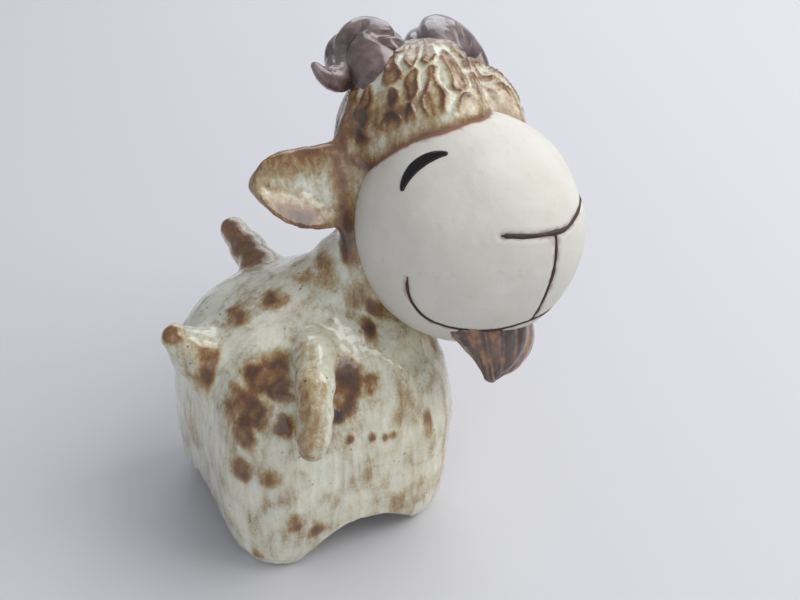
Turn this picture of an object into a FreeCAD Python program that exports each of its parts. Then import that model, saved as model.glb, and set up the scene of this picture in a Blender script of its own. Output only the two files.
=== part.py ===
import FreeCAD, Part
import math
import os

import Sketcher
from FreeCAD import Placement, Rotation, Vector

# A hand-built stoneware goat: a hollow square-bell body on four corner feet, a hollow bisque ball for the
# face with a glazed cap of hair over and behind it, and horns, ears, arms, tail and beard luted on.
# Millimetres, +Z up, feet on Z = 0. +X is the chest, -X the tail, -Y the side that the face looks to.

doc = FreeCAD.newDocument("goat")
dims = doc.addObject("Spreadsheet::Sheet", "dims")

CELLS = [
    # the body is a loft of rounded squares: height, half width and corner radius of each
    ("foot_z", 0), ("foot_half", 24.4), ("foot_corner", 10.5),
    ("hem_z", 4.5), ("hem_half", 27.0), ("hem_corner", 12.5),
    ("hip_z", 14), ("hip_half", 28.2), ("hip_corner", 15),
    ("belly_z", 30), ("belly_half", 28.8), ("belly_corner", 17),
    ("shoulder_z", 42), ("shoulder_half", 27.2), ("shoulder_corner", 17.5),
    ("slope_z", 51), ("slope_half", 22.5), ("slope_corner", 16),
    ("collar_z", 57), ("collar_half", 15.5), ("collar_corner", 12),
    ("crown_z", 60.5), ("crown_half", 7), ("crown_corner", 6),
    ("body_wall", 4.5),
    ("arch_span", 30), ("arch_rise", 9),
    ("neck_root", 11), ("neck_waist", 9.5), ("neck_top", 9),
    # the head: a ball carried forward over the chest, turned, tilted and lifted
    ("head_x", 34.5), ("head_y", -14), ("head_z", 72),
    ("head_turn", 10.6), ("head_tilt", 17.2), ("head_lift", 30),
    ("ball_radius", 25.6), ("ball_wall", 4), ("vent_radius", 1.5),
    ("muzzle_radius", 19.3), ("muzzle_reach", 27.3), ("muzzle_blend", 10), ("muzzle_drop", 6),
    ("nape_thick", 1.6), ("nape_y", 14), ("hairline_drop", 17.2), ("hairline_z", 17),
    ("mound_y", 9), ("mound_z", 17), ("parting_radius", 9),
    ("mound_wide", 22.5), ("mound_deep", 23), ("mound_tall", 26.3),
    ("horn_root", 6.8), ("horn_crown", 6.2), ("horn_curl", 4.4), ("horn_tip", 1.2),
    ("ear_root", 10.4), ("ear_broad", 9.2), ("ear_outer", 7.2), ("ear_end", 3.4),
    ("dish_long", 10.5), ("dish_deep", 5.6), ("dish_tall", 8), ("ear_sweep", 14),
    ("beard_wide", 11.4), ("beard_thick", 6), ("beard_tip", 1.6),
    ("arm_root", 5.2), ("arm_mid", 3.7), ("arm_end", 3.5),
    ("tail_root", 8), ("tail_mid", 5), ("tail_end", 3),
    ("eye_curve", 8.2), ("eye_hollow", 12.56), ("eye_shift", 6.26),
    ("eye_floor", 24.1), ("eye_proud", 0.3),
    ("line_radius", 0.55), ("nose_radius", 0.75),
]
for row, (alias, number) in enumerate(CELLS, start=1):
    dims.set(f"A{row}", alias)
    dims.set(f"B{row}", str(number))
    dims.setAlias(f"B{row}", alias)
doc.recompute()
size = dict(CELLS)

HEAD = Placement(
    Vector(size["head_x"], size["head_y"], size["head_z"]),
    Rotation(size["head_turn"], size["head_tilt"], -size["head_lift"]),
)
SECTIONS = ["foot", "hem", "hip", "belly", "shoulder", "slope", "collar", "crown"]
BIG = 90


def plane_of(body, role):
    """The body's own origin plane with this role."""
    return next(f for f in body.Origin.OriginFeatures if f.Role == role)


def new_sketch(body, name, role, offset=Placement()):
    sketch = body.newObject("Sketcher::SketchObject", name)
    sketch.AttachmentSupport = (plane_of(body, role), [""])
    sketch.MapMode = "FlatFace"
    sketch.AttachmentOffset = offset
    return sketch


def named(sketch, name, constraint, expression):
    """Adds a dimension to a sketch and binds it to the sheet."""
    index = sketch.addConstraint(constraint)
    sketch.renameConstraint(index, name)
    sketch.setExpression(f"Constraints.{name}", expression)


def rounded_square(body, name, height, half, corner):
    """A square with rounded corners about the Z axis; height, half and corner are expressions."""
    sketch = new_sketch(body, name, "XY_Plane")
    sketch.setExpression("AttachmentOffset.Base.z", height)
    flat, out = 12.0, 20.0
    turns = [180, 270, 0, 90]
    centres = [Vector(-flat, -flat), Vector(flat, -flat), Vector(flat, flat), Vector(-flat, flat)]
    for centre, start in zip(centres, turns):
        circle = Part.Circle(centre, Vector(0, 0, 1), out - flat)
        sketch.addGeometry(Part.ArcOfCircle(circle, math.radians(start), math.radians(start + 90)))
    for i, centre in enumerate(centres):
        following = centres[(i + 1) % 4]
        away = [Vector(0, -1), Vector(1, 0), Vector(0, 1), Vector(-1, 0)][i] * (out - flat)
        sketch.addGeometry(Part.LineSegment(centre + away, following + away))
    for i in range(4):
        sketch.addConstraint(Sketcher.Constraint("Tangent", i, 2, 4 + i, 1))
        sketch.addConstraint(Sketcher.Constraint("Tangent", 4 + i, 2, (i + 1) % 4, 1))
    for i in range(1, 4):
        sketch.addConstraint(Sketcher.Constraint("Equal", 0, i))
    sketch.addConstraint(Sketcher.Constraint("Horizontal", 4))
    sketch.addConstraint(Sketcher.Constraint("Horizontal", 6))
    sketch.addConstraint(Sketcher.Constraint("Vertical", 5))
    sketch.addConstraint(Sketcher.Constraint("Vertical", 7))
    sketch.addConstraint(Sketcher.Constraint("Symmetric", 0, 3, 2, 3, -1, 1))
    named(sketch, "corner", Sketcher.Constraint("Radius", 0, out - flat), corner)
    span = f"2 * (({half}) - ({corner}))"
    named(sketch, "span_x", Sketcher.Constraint("DistanceX", 0, 3, 1, 3, 2 * flat), span)
    named(sketch, "span_y", Sketcher.Constraint("DistanceY", 1, 3, 2, 3, 2 * flat), span)
    return sketch


def bell(body, prefix):
    """The outer form of the body."""
    sketches = [
        rounded_square(body, f"{prefix}_{n}", f"dims.{n}_z", f"dims.{n}_half", f"dims.{n}_corner")
        for n in SECTIONS
    ]
    loft = body.newObject("PartDesign::AdditiveLoft", f"{prefix}_form")
    loft.Profile = sketches[0]
    loft.Sections = sketches[1:]
    return loft


# The body: lofted bell, lofted hollow, and an arch under each side between the feet.
envelope = doc.addObject("PartDesign::Body", "body_envelope")
bell(envelope, "envelope")
clay = doc.addObject("PartDesign::Body", "body_clay")
bell(clay, "clay")
shrink = "(dims.crown_z - dims.body_wall) / dims.crown_z"
hollow_sketches = [
    rounded_square(
        clay, f"hollow_{n}", f"dims.{n}_z * {shrink}", f"dims.{n}_half - dims.body_wall",
        f"dims.{n}_corner - dims.body_wall",
    )
    for n in SECTIONS[:-1]
]
hollow = clay.newObject("PartDesign::SubtractiveLoft", "hollow")
hollow.Profile = hollow_sketches[0]
hollow.Sections = hollow_sketches[1:]
arch_radius = "(dims.arch_span ^ 2 / 4 + dims.arch_rise ^ 2) / (2 * dims.arch_rise)"
for role in ("XZ_Plane", "YZ_Plane"):
    arch_sketch = new_sketch(clay, "arch_" + role[:2], role)
    arch_sketch.addGeometry(Part.Circle(Vector(0, -20), Vector(0, 0, 1), 24))
    arch_sketch.addConstraint(Sketcher.Constraint("PointOnObject", 0, 3, -2))
    named(arch_sketch, "curve", Sketcher.Constraint("Radius", 0, 24), arch_radius)
    named(
        arch_sketch, "drop", Sketcher.Constraint("DistanceY", 0, 3, -1, 1, 20),
        f"{arch_radius} - dims.arch_rise",
    )
    arch = clay.newObject("PartDesign::Pocket", "arches_" + role[:2])
    arch.Profile = arch_sketch
    arch.Length = 2 * BIG
    arch.Midplane = True


# The head in its own frame: centre of the ball at the origin, looking along -Y.
# Round solids lie with their poles fore and aft and their seam below.
LYING = Rotation(Vector(0, 0, -1), Vector(-1, 0, 0), Vector(0, 1, 0), "ZXY")


def ellipsoid(name, centre, radii):
    """An ellipsoid with semi-axes along X, Y and Z of the head."""
    solid = doc.addObject("Part::Ellipsoid", name)
    solid.setExpression("Radius1", radii[1])
    solid.setExpression("Radius2", radii[2])
    solid.setExpression("Radius3", radii[0])
    solid.Placement = HEAD.multiply(Placement(Vector(*centre), LYING))
    return solid


def sphere(name, radius):
    solid = doc.addObject("Part::Sphere", name)
    solid.setExpression("Radius", radius)
    solid.Placement = HEAD.multiply(Placement(Vector(), LYING))
    return solid


def fuse(name, *solids):
    joined = doc.addObject("Part::MultiFuse", name)
    joined.Shapes = list(solids)
    joined.Refine = False
    return joined


def cut(name, base, *tools):
    """base less each tool; the last cut carries the name."""
    for i, tool in enumerate(tools, start=1):
        last = i == len(tools)
        piece = doc.addObject("Part::Cut", name if last else f"{name}_less_{i}")
        piece.Base = base
        piece.Tool = tool
        piece.Refine = False
        base = piece
    return base


def limb(name, stations, place=Placement(), upright=False):
    """A coil of clay: a loft through sections along a path, with a round end.

    Each station is (x, y, z, width, ratio): width an expression for the half width, ratio the other half
    width over it. The width lies level, or along Z where upright.
    """
    points = [Vector(*s[:3]) for s in stations]
    sections = []
    side = None
    for i, (x, y, z, width, ratio) in enumerate(stations):
        ahead = points[min(i + 1, len(points) - 1)] - points[max(i - 1, 0)]
        ahead.normalize()
        if side is None:
            side = Vector(0, 0, 1) if upright else Vector(0, 0, 1).cross(ahead)
            if side.Length < 0.2:
                side = Vector(1, 0, 0)
        side = side - ahead * side.dot(ahead)
        side.normalize()
        spin = Rotation(side, ahead.cross(side), ahead, "ZXY")
        ring = doc.addObject("Part::Ellipse", f"{name}_ring_{i}")
        ring.setExpression("MajorRadius", width)
        ring.setExpression("MinorRadius", f"{width} * {ratio}")
        ring.Placement = place.multiply(Placement(points[i], spin))
        sections.append(ring)
    tube = doc.addObject("Part::Loft", f"{name}_tube")
    tube.Sections = sections
    tube.Solid = True
    tube.Ruled = False
    end = doc.addObject("Part::Ellipsoid", f"{name}_end")
    width, ratio = stations[-1][3], stations[-1][4]
    end.setExpression("Radius2", width)
    end.setExpression("Radius3", f"{width} * {ratio}")
    end.setExpression("Radius1", width)
    end.Placement = sections[-1].Placement
    return fuse(f"{name}_coil", tube, end)


# The ball is turned about the line of sight: a great arc, a hollow blend and the blunt cap of the muzzle.
skull = doc.addObject("PartDesign::Body", "skull")
skull.Placement = HEAD.multiply(Placement(Vector(), Rotation(Vector(1, 0, 0), size["muzzle_drop"])))
turned = new_sketch(skull, "skull_profile", "YZ_Plane")
great, cap = size["ball_radius"], size["muzzle_radius"]
shift = size["muzzle_reach"] - cap
blend = size["muzzle_blend"]
across = ((great + blend) ** 2 - (cap + blend) ** 2 + shift**2) / (2 * shift)
above = math.sqrt((great + blend) ** 2 - across**2)
lift = math.atan2(above, across)
cap_lift = math.atan2(above, across - shift)
normal = Vector(0, 0, 1)
turned.addGeometry(Part.ArcOfCircle(Part.Circle(Vector(0, 0), normal, great), 0, math.pi - lift))
turned.addGeometry(Part.ArcOfCircle(Part.Circle(Vector(-across, above), normal, blend), -cap_lift, -lift))
turned.addGeometry(Part.ArcOfCircle(Part.Circle(Vector(-shift, 0), normal, cap), math.pi - cap_lift, math.pi))
turned.addGeometry(Part.LineSegment(Vector(-shift - cap, 0), Vector(great, 0)))
turned.addConstraint(Sketcher.Constraint("Tangent", 0, 2, 1, 2))
turned.addConstraint(Sketcher.Constraint("Tangent", 1, 1, 2, 1))
turned.addConstraint(Sketcher.Constraint("Coincident", 2, 2, 3, 1))
turned.addConstraint(Sketcher.Constraint("Coincident", 3, 2, 0, 1))
turned.addConstraint(Sketcher.Constraint("Coincident", 0, 3, -1, 1))
turned.addConstraint(Sketcher.Constraint("PointOnObject", 2, 3, -1))
turned.addConstraint(Sketcher.Constraint("PointOnObject", 3, 1, -1))
turned.addConstraint(Sketcher.Constraint("PointOnObject", 3, 2, -1))
named(turned, "ball", Sketcher.Constraint("Radius", 0, great), "dims.ball_radius")
named(turned, "cap", Sketcher.Constraint("Radius", 2, cap), "dims.muzzle_radius")
named(turned, "blend", Sketcher.Constraint("Radius", 1, blend), "dims.muzzle_blend")
named(
    turned, "reach", Sketcher.Constraint("DistanceX", 3, 1, -1, 1, shift + cap), "dims.muzzle_reach",
)
ball_turn = skull.newObject("PartDesign::Revolution", "skull_turned")
ball_turn.Profile = turned
ball_turn.ReferenceAxis = (turned, ["H_Axis"])
ball_turn.Angle = 360
ball_hollow = sphere("ball_hollow", "dims.ball_radius - dims.ball_wall")


# The inlaid features of the face: a pocket or groove in the ball, and the glaze that fills it.
def aim(azimuth, elevation):
    """Unit vector from the centre of the ball; azimuth 0 is straight ahead, positive to the goat's left."""
    a, e = math.radians(azimuth), math.radians(elevation)
    return Vector(math.sin(a) * math.cos(e), -math.cos(a) * math.cos(e), math.sin(e))


def on_face(azimuth, elevation):
    """The point of the face in a direction: on the ball, or on the muzzle where that stands further out."""
    d = aim(azimuth, elevation)
    along = aim(0, -size["muzzle_drop"]).dot(d) * shift
    inside = along**2 - shift**2 + cap**2
    return d * max(great, along + math.sqrt(inside) if inside > 0 else 0)


def drawn_line(name, points, radius, count):
    """A round tool along a smooth curve on the face; its part within the ball is the groove."""
    curve = Part.BSplineCurve()
    curve.interpolate([on_face(*p) for p in points])
    first, last = curve.FirstParameter, curve.LastParameter
    stops = [curve.value(first + (last - first) * i / (count - 1)) for i in range(count)]
    return limb(name, [(p.x, p.y, p.z, radius, 1) for p in stops], HEAD)


def eye_tool(name, side):
    """A crescent prism that points out of the ball."""
    azimuth, elevation = side * 58, 19
    body = doc.addObject("PartDesign::Body", name)
    sketch = new_sketch(body, f"{name}_crescent", "XY_Plane")
    out, hollow_out, shift = size["eye_curve"], size["eye_hollow"], size["eye_shift"]
    spread = math.acos((hollow_out**2 - out**2 - shift**2) / (2 * out * shift))
    tip = Vector(out * math.cos(spread), out * math.sin(spread))
    fold = math.atan2(tip.y, tip.x + shift)
    sketch.addGeometry(Part.ArcOfCircle(Part.Circle(Vector(), Vector(0, 0, 1), out), -spread, spread))
    inner = Part.Circle(Vector(-shift, 0), Vector(0, 0, 1), hollow_out)
    sketch.addGeometry(Part.ArcOfCircle(inner, -fold, fold))
    sketch.addConstraint(Sketcher.Constraint("Coincident", 0, 1, 1, 1))
    sketch.addConstraint(Sketcher.Constraint("Coincident", 0, 2, 1, 2))
    sketch.addConstraint(Sketcher.Constraint("Coincident", 0, 3, -1, 1))
    sketch.addConstraint(Sketcher.Constraint("PointOnObject", 1, 3, -1))
    named(sketch, "curve", Sketcher.Constraint("Radius", 0, out), "dims.eye_curve")
    named(sketch, "hollow", Sketcher.Constraint("Radius", 1, hollow_out), "dims.eye_hollow")
    named(sketch, "shift", Sketcher.Constraint("DistanceX", 1, 3, 0, 3, shift), "dims.eye_shift")
    pad = body.newObject("PartDesign::Pad", f"{name}_prism")
    pad.Profile = sketch
    pad.Length = 6
    away = aim(azimuth, elevation)
    level = Vector(0, 0, 1).cross(away) * side
    brow = Rotation(level, away.cross(level), away, "ZXY")
    body.Placement = HEAD.multiply(
        Placement(away * size["eye_floor"], brow.multiply(Rotation(Vector(0, 0, 1), 55 * side)))
    )
    return body


NOSE = [(-29.5, -7.5), (-17, -8.5), (-5, -8), (3, -6.5), (12, -1.5), (24, 5), (36, 10)]
PHILTRUM = [(-4, -9.5), (-2, -21), (2, -38), (11, -57)]
MOUTH = [
    (-80, -22), (-83, -28), (-85, -36), (-84, -45), (-76, -53), (-50, -61), (-17, -62.5),
    (11, -58), (32, -53), (52, -46), (70, -36), (80, -27),
]
tools = {
    "nose_line": drawn_line("nose_line", NOSE, "dims.nose_radius", 16),
    "philtrum_line": drawn_line("philtrum_line", PHILTRUM, "dims.line_radius", 9),
    "mouth_line": drawn_line("mouth_line", MOUTH, "dims.line_radius", 16),
    "eye_right": eye_tool("eye_tool_right", -1),
    "eye_left": eye_tool("eye_tool_left", 1),
}


# The hair: a tall mound that meets the ball along the hairline, and a thin skin down the nape.
mound = ellipsoid(
    "mound", (0, size["mound_y"], size["mound_z"]),
    ("dims.mound_wide", "dims.mound_deep", "dims.mound_tall"),
)
nape = sphere("nape", "dims.ball_radius + dims.nape_thick")
hair_mass = fuse("hair_mass", mound, nape)
fringe = doc.addObject("PartDesign::Body", "fringe_cutter")
fringe.Placement = HEAD
profile = new_sketch(fringe, "hairline", "YZ_Plane")
corners = [Vector(14, 13), Vector(14, -60), Vector(-60, -60), Vector(-60, 35)]
for i in range(4):
    profile.addGeometry(Part.LineSegment(corners[i], corners[(i + 1) % 4]))
for i in range(4):
    profile.addConstraint(Sketcher.Constraint("Coincident", i, 2, (i + 1) % 4, 1))
profile.addConstraint(Sketcher.Constraint("Vertical", 0))
profile.addConstraint(Sketcher.Constraint("Horizontal", 1))
profile.addConstraint(Sketcher.Constraint("Vertical", 2))
named(profile, "nape_y", Sketcher.Constraint("DistanceX", -1, 1, 0, 1, 14), "dims.nape_y")
named(profile, "front_y", Sketcher.Constraint("DistanceX", 2, 1, -1, 1, 60), "2 * dims.ball_radius")
named(profile, "low_z", Sketcher.Constraint("DistanceY", 1, 1, -1, 1, 60), "2 * dims.ball_radius")
named(
    profile, "behind_z", Sketcher.Constraint("DistanceY", -1, 1, 0, 1, 13),
    "dims.hairline_z - dims.nape_y * tan(dims.hairline_drop)",
)
named(
    profile, "front_z", Sketcher.Constraint("DistanceY", -1, 1, 3, 1, 35),
    "dims.hairline_z + 2 * dims.ball_radius * tan(dims.hairline_drop)",
)
fringe_pad = fringe.newObject("PartDesign::Pad", "fringe_pad")
fringe_pad.Profile = profile
fringe_pad.Length = 2 * BIG
fringe_pad.Midplane = True

# The fringe opens in an arch over the forehead.
PARTING = (4, -4, 15.5)

# Coils luted to the head: (x, y, z, half width, ratio) along each, from inside the head outwards.
HORN = [
    (7.5, 8, 31.5, "dims.horn_root", 1), (8, 10, 38, "dims.horn_root", 1),
    (9, 13.2, 42.6, "dims.horn_crown", 1), (12, 17.2, 44, "dims.horn_crown * 0.9", 1),
    (15.4, 19.8, 41.8, "dims.horn_curl * 1.1", 1), (17.9, 19.4, 38.6, "dims.horn_curl * 0.88", 1),
    (19.6, 16.6, 37.2, "dims.horn_curl * 0.7", 1), (21.6, 14, 38.2, "dims.horn_tip * 1.7", 1),
    (22.9, 12.9, 40.4, "dims.horn_tip", 1),
]
EAR = [
    (12, 12, 13.5, "dims.ear_root", 0.3), (22, 14, 13.5, "dims.ear_root", 0.3),
    (29.5, 16, 12.6, "dims.ear_broad", 0.28), (36, 17.8, 13, "dims.ear_outer", 0.34),
    (39.8, 18.7, 13.6, "dims.ear_outer * 0.74", 0.42), (42, 19.2, 14, "dims.ear_end", 0.65),
]
EAR_DISH = (31, 10, 13)
EAR_PIVOT = Vector(22, 13, 13)
BEARD = [
    (-0.5, -4, -19, "dims.beard_wide", 0.52), (-1, -5, -24.5, "dims.beard_wide", 0.52),
    (-2.2, -5.6, -28.5, "dims.beard_wide * 0.7", 0.6), (-3.8, -6, -31.5, "dims.beard_tip * 2.2", 0.8),
    (-4.8, -6.2, -33, "dims.beard_tip", 0.9),
]


def tip_up(point, side, lift, rise):
    """A point for the goat's left (side 1) or right (side -1), tipped up about the ear's root and raised."""
    turn = Rotation(Vector(0, 1, 0), -side * lift)
    pivot = Vector(EAR_PIVOT.x * side, EAR_PIVOT.y, EAR_PIVOT.z)
    return turn.multVec(Vector(point[0] * side, point[1], point[2]) - pivot) + pivot + Vector(0, 0, rise)


def one_side(stations, side, lift=0, rise=0):
    return [(*tip_up(s[:3], side, lift, rise), *s[3:]) for s in stations]


ARM_RIGHT = [
    (-4, -13, 52, "dims.arm_root", 0.85), (-6.6, -20, 54.3, "dims.arm_root * 0.92", 0.85),
    (-9.2, -26, 52.6, "dims.arm_mid * 1.1", 0.9), (-11, -29.6, 48, "dims.arm_mid * 1.08", 0.9),
    (-12, -30.8, 43.6, "dims.arm_mid", 0.9), (-12.5, -30.9, 39.6, "dims.arm_end", 0.9),
]
ARM_LEFT = [
    (-1.5, 13, 50, "dims.arm_root", 0.8), (-1.8, 20, 51.8, "dims.arm_mid * 1.15", 0.85),
    (-2.4, 27, 53, "dims.arm_mid * 0.95", 0.9), (-3, 33.4, 54.2, "dims.arm_end * 0.9", 0.95),
]
TAIL = [
    (-15, 0, 39, "dims.tail_root", 1), (-21.5, 0, 44, "dims.tail_root * 0.9", 1),
    (-26, 0, 49, "dims.tail_mid", 1), (-29.4, 0, 53.6, "dims.tail_end", 1),
]
NECK = [
    (4, -1, 49, "dims.neck_root * 1.05", 1), (6.5, -1.5, 54, "dims.neck_root * 0.93", 1),
    (11, -3, 60.5, "dims.neck_waist", 1), (18, -5.5, 67, "dims.neck_top", 1),
    (27, -10, 73, "dims.neck_top", 1),
]
ARMS = {"arm_right": ARM_RIGHT, "arm_left": ARM_LEFT}
SIDES = {"right": -1, "left": 1}
EAR_LIFT = {"right": (0, 0), "left": (24, 7)}


def intersect(name, one, other):
    common = doc.addObject("Part::Common", name)
    common.Base = one
    common.Tool = other
    common.Refine = False
    return common


# The pieces, each cut back to the faces of those that it is luted to.
head_centre = HEAD.Base
vent = doc.addObject("Part::Cylinder", "vent")
vent.setExpression("Radius", "dims.vent_radius")
body_end = Vector(6, -1.5, 46)
vent.Height = (head_centre - body_end).Length
vent.Placement = Placement(body_end, Rotation(Vector(0, 0, 1), head_centre - body_end))

nodes = {}
parting = doc.addObject("Part::Cylinder", "parting")
parting.setExpression("Radius", "dims.parting_radius")
parting.Height = BIG
parting.Placement = HEAD.multiply(
    Placement(Vector(*PARTING), Rotation(Vector(0, 0, 1), Vector(0, -1, -0.2)))
)
nodes["hair_cap"] = cut("hair_cap", hair_mass, fringe, parting, skull, vent)
nodes["face_shell"] = cut("face_shell", skull, ball_hollow, vent, *tools.values())
nodes["body_shell"] = cut("body_shell", clay, skull, vent)
nodes["neck"] = cut("neck", limb("neck", NECK), envelope, skull, nodes["hair_cap"], vent)
nodes["tail"] = cut("tail", limb("tail", TAIL), envelope)
for name, stations in ARMS.items():
    nodes[name] = cut(name, limb(name, stations), envelope)
nodes["beard"] = cut("beard", limb("beard", BEARD, HEAD), skull, envelope)
for word, side in SIDES.items():
    horn = limb(f"horn_{word}", one_side(HORN, side), HEAD)
    nodes[f"horn_{word}"] = cut(f"horn_{word}", horn, mound)
    lift, rise = EAR_LIFT[word]
    ear = limb(f"ear_{word}", one_side(EAR, side, lift, rise), HEAD, upright=True)
    dish = ellipsoid(f"ear_{word}_dish", (0, 0, 0), ("dims.dish_long", "dims.dish_deep", "dims.dish_tall"))
    tilt = Rotation(Vector(0, 0, 1), side * size["ear_sweep"])
    dish.Placement = HEAD.multiply(
        Placement(
            tip_up(EAR_DISH, side, lift, rise),
            Rotation(Vector(0, 1, 0), -side * lift).multiply(tilt).multiply(LYING),
        )
    )
    nodes[f"ear_{word}"] = cut(f"ear_{word}", ear, dish, nodes["hair_cap"], skull)
    bead = sphere(f"eye_{word}_limit", "dims.ball_radius + dims.eye_proud")
    nodes[f"eye_{word}"] = intersect(f"eye_{word}", tools[f"eye_{word}"], bead)
for name in ("nose_line", "mouth_line"):
    nodes[name] = intersect(name, tools[name], skull)
philtrum = intersect("philtrum_fill", tools["philtrum_line"], skull)
nodes["philtrum_line"] = cut("philtrum_line", philtrum, tools["nose_line"], tools["mouth_line"])

doc.recompute()
for o in doc.Objects:
    if {"Invalid", "Error"} & set(o.State):
        raise RuntimeError(f"{o.Name} did not recompute: {o.State}")

# The figure is shifted so that its origin lies on the table, under the middle of its whole length and width.
whole = Part.makeCompound([node.Shape for node in nodes.values()]).optimalBoundingBox(False, False)
middle = Vector(-(whole.XMin + whole.XMax) / 2, -(whole.YMin + whole.YMax) / 2, 0)
os.makedirs("parts", exist_ok=True)
for name, node in nodes.items():
    node.Label = name
    shape = node.Shape.copy()
    shape.translate(middle)
    if shape.isNull() or not shape.isValid() or len(shape.Solids) != 1:
        raise RuntimeError(f"{name} is not one valid solid")
    print(f"{name}: {shape.Volume:.1f} mm3")
    shape.exportStep(f"parts/{name}.step")
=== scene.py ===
import math

import bpy
import numpy as np
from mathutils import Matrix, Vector


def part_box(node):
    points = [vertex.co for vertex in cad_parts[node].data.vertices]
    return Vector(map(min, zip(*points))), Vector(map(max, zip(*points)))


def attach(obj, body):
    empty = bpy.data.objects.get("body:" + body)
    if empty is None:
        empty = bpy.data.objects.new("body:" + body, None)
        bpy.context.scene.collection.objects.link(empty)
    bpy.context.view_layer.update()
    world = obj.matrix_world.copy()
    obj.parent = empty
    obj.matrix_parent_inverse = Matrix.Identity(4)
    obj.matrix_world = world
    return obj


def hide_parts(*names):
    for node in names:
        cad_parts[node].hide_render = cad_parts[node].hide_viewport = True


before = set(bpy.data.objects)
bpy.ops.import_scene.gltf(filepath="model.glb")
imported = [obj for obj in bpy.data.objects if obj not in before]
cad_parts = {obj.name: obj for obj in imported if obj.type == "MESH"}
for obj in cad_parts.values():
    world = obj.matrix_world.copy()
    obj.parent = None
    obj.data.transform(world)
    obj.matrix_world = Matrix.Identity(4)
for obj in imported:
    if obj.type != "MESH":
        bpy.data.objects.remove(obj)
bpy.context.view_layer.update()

MM = 0.001
VOXEL = 0.56  # mm, the grid that the glazed clay is cut on


# -------------------- the frame, in millimetres
def box_mm(node):
    low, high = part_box(node)
    return np.array(low) / MM, np.array(high) / MM


face_low, face_high = box_mm("face_shell")
body_low, body_high = box_mm("body_shell")
# everything below is worked out from the middle of the body's footprint
MIDDLE = np.array([(body_low[0] + body_high[0]) / 2, (body_low[1] + body_high[1]) / 2, 0])
HALF = (body_high[0] - body_low[0]) / 2
CROWN = body_high[2]
BALL = (face_high[0] - face_low[0]) / 2
HEAD = np.array([face_low[0] + BALL, face_high[1] - BALL, face_low[2] + BALL]) - MIDDLE
SEAT = 0.9  # how far the glazed clay laps into the face ball


def spin(axis, degrees):
    a = math.radians(degrees)
    c, s = math.cos(a), math.sin(a)
    i, j = [(1, 2), (2, 0), (0, 1)][axis]
    m = np.eye(3)
    m[i, i], m[i, j], m[j, i], m[j, j] = c, -s, s, c
    return m


# the head's own frame: centre of the ball, looking along -Y; turned, tilted and lifted as in the CAD
TURN = spin(2, 10.6) @ spin(1, 17.2) @ spin(0, -30)


def to_head(p):
    """Points given in the body's frame, in the head's."""
    return (p - HEAD) @ TURN


def from_head(p):
    return np.asarray(p, float) @ TURN.T + HEAD


# -------------------- noise
def hashed(i, j, k, seed):
    """A fixed random number in -1..1 for each cell of a grid."""
    n = (i * 73856093) ^ (j * 19349663) ^ (k * 83492791) ^ (seed * 2654435761)
    n = (n ^ (n >> 13)) * 1274126177
    n = n ^ (n >> 16)
    return (n & 0xFFFF) / 65535.0 * 2 - 1


def noise(p, seed):
    """Smooth value noise in -1..1 at points p, one lump per unit."""
    base = np.floor(p).astype(np.int64)
    f = p - base
    f = f * f * f * (f * (f * 6 - 15) + 10)
    total = 0
    for dx in (0, 1):
        for dy in (0, 1):
            for dz in (0, 1):
                weight = (
                    (f[:, 0] if dx else 1 - f[:, 0])
                    * (f[:, 1] if dy else 1 - f[:, 1])
                    * (f[:, 2] if dz else 1 - f[:, 2])
                )
                total = total + weight * hashed(base[:, 0] + dx, base[:, 1] + dy, base[:, 2] + dz, seed)
    return total


def fractal(p, octaves, seed):
    """Noise with ever finer and fainter lumps, in -1..1."""
    total, scale, size = 0, 1.0, 0
    for octave in range(octaves):
        total = total + scale * noise(p * 2.03**octave, seed + 17 * octave)
        size += scale
        scale *= 0.5
    return total / size


def ridged(p, seed):
    """Narrow crests, 1 high, along the lines where the noise passes zero."""
    return 1 - 2.4 * np.abs(noise(p, seed))


def step(low, high, x):
    """0 before low, 1 past high and smooth between; low may be the larger."""
    t = np.clip((x - low) / (high - low), 0, 1)
    return t * t * (3 - 2 * t)


def toward(a, b, amount):
    return a + amount * (b - a)


# -------------------- distance fields
def smin(a, b, k):
    """The smaller of two distances, rounded over k mm: joins two forms."""
    t = np.clip(0.5 + 0.5 * (b - a) / k, 0, 1)
    return b * (1 - t) + a * t - k * t * (1 - t)


def smax(a, b, k):
    """The larger of two distances, rounded over k mm: cuts one form by another."""
    return -smin(-a, -b, k)


def tube(p, points, radii):
    """Distance to a round coil of varying radius along a polyline."""
    best = None
    points = np.asarray(points, float)
    for a, b, ra, rb in zip(points[:-1], points[1:], radii[:-1], radii[1:]):
        ab = b - a
        t = np.clip(((p - a) @ ab) / (ab @ ab), 0, 1)
        d = np.linalg.norm(p - a - t[:, None] * ab, axis=1) - (ra + (rb - ra) * t)
        best = d if best is None else smin(best, d, 1.6)
    return best


def ellipsoid(q, centre, radii):
    u = (q - centre) / radii
    r = np.linalg.norm(u, axis=1)
    g = np.linalg.norm(u / radii, axis=1) + 1e-9
    return r * (r - 1) / g


WALL = 4.5  # of the body
HOLLOW_TOP = 52
ARCH_SPAN, ARCH_RISE = 30.0, 9.0  # between two feet
ARCH_RADIUS = (ARCH_SPAN**2 / 4 + ARCH_RISE**2) / (2 * ARCH_RISE)
LEAN, LEAN_Z, LEAN_FADE = 1.1, 36, 14  # how far the belly leans to +X, at what height, and its spread
# the body's square section: at each height, half its side and the radius of its corners
SECTION_Z = np.array([0, 2, 4.5, 14, 30, 42, 51, 57, 60.5]) / 60.5 * CROWN
SECTION_HALF = np.array([24.2, 25.8, 27.0, 28.2, 28.8, 27.2, 22.5, 15.5, 7]) / 28.8 * HALF
SECTION_CORNER = np.array([10, 11, 12.5, 14.5, 15.5, 15.5, 15, 12, 6]) / 28.8 * HALF
DOME_Z = 30.0  # the sides lean in above this


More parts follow.
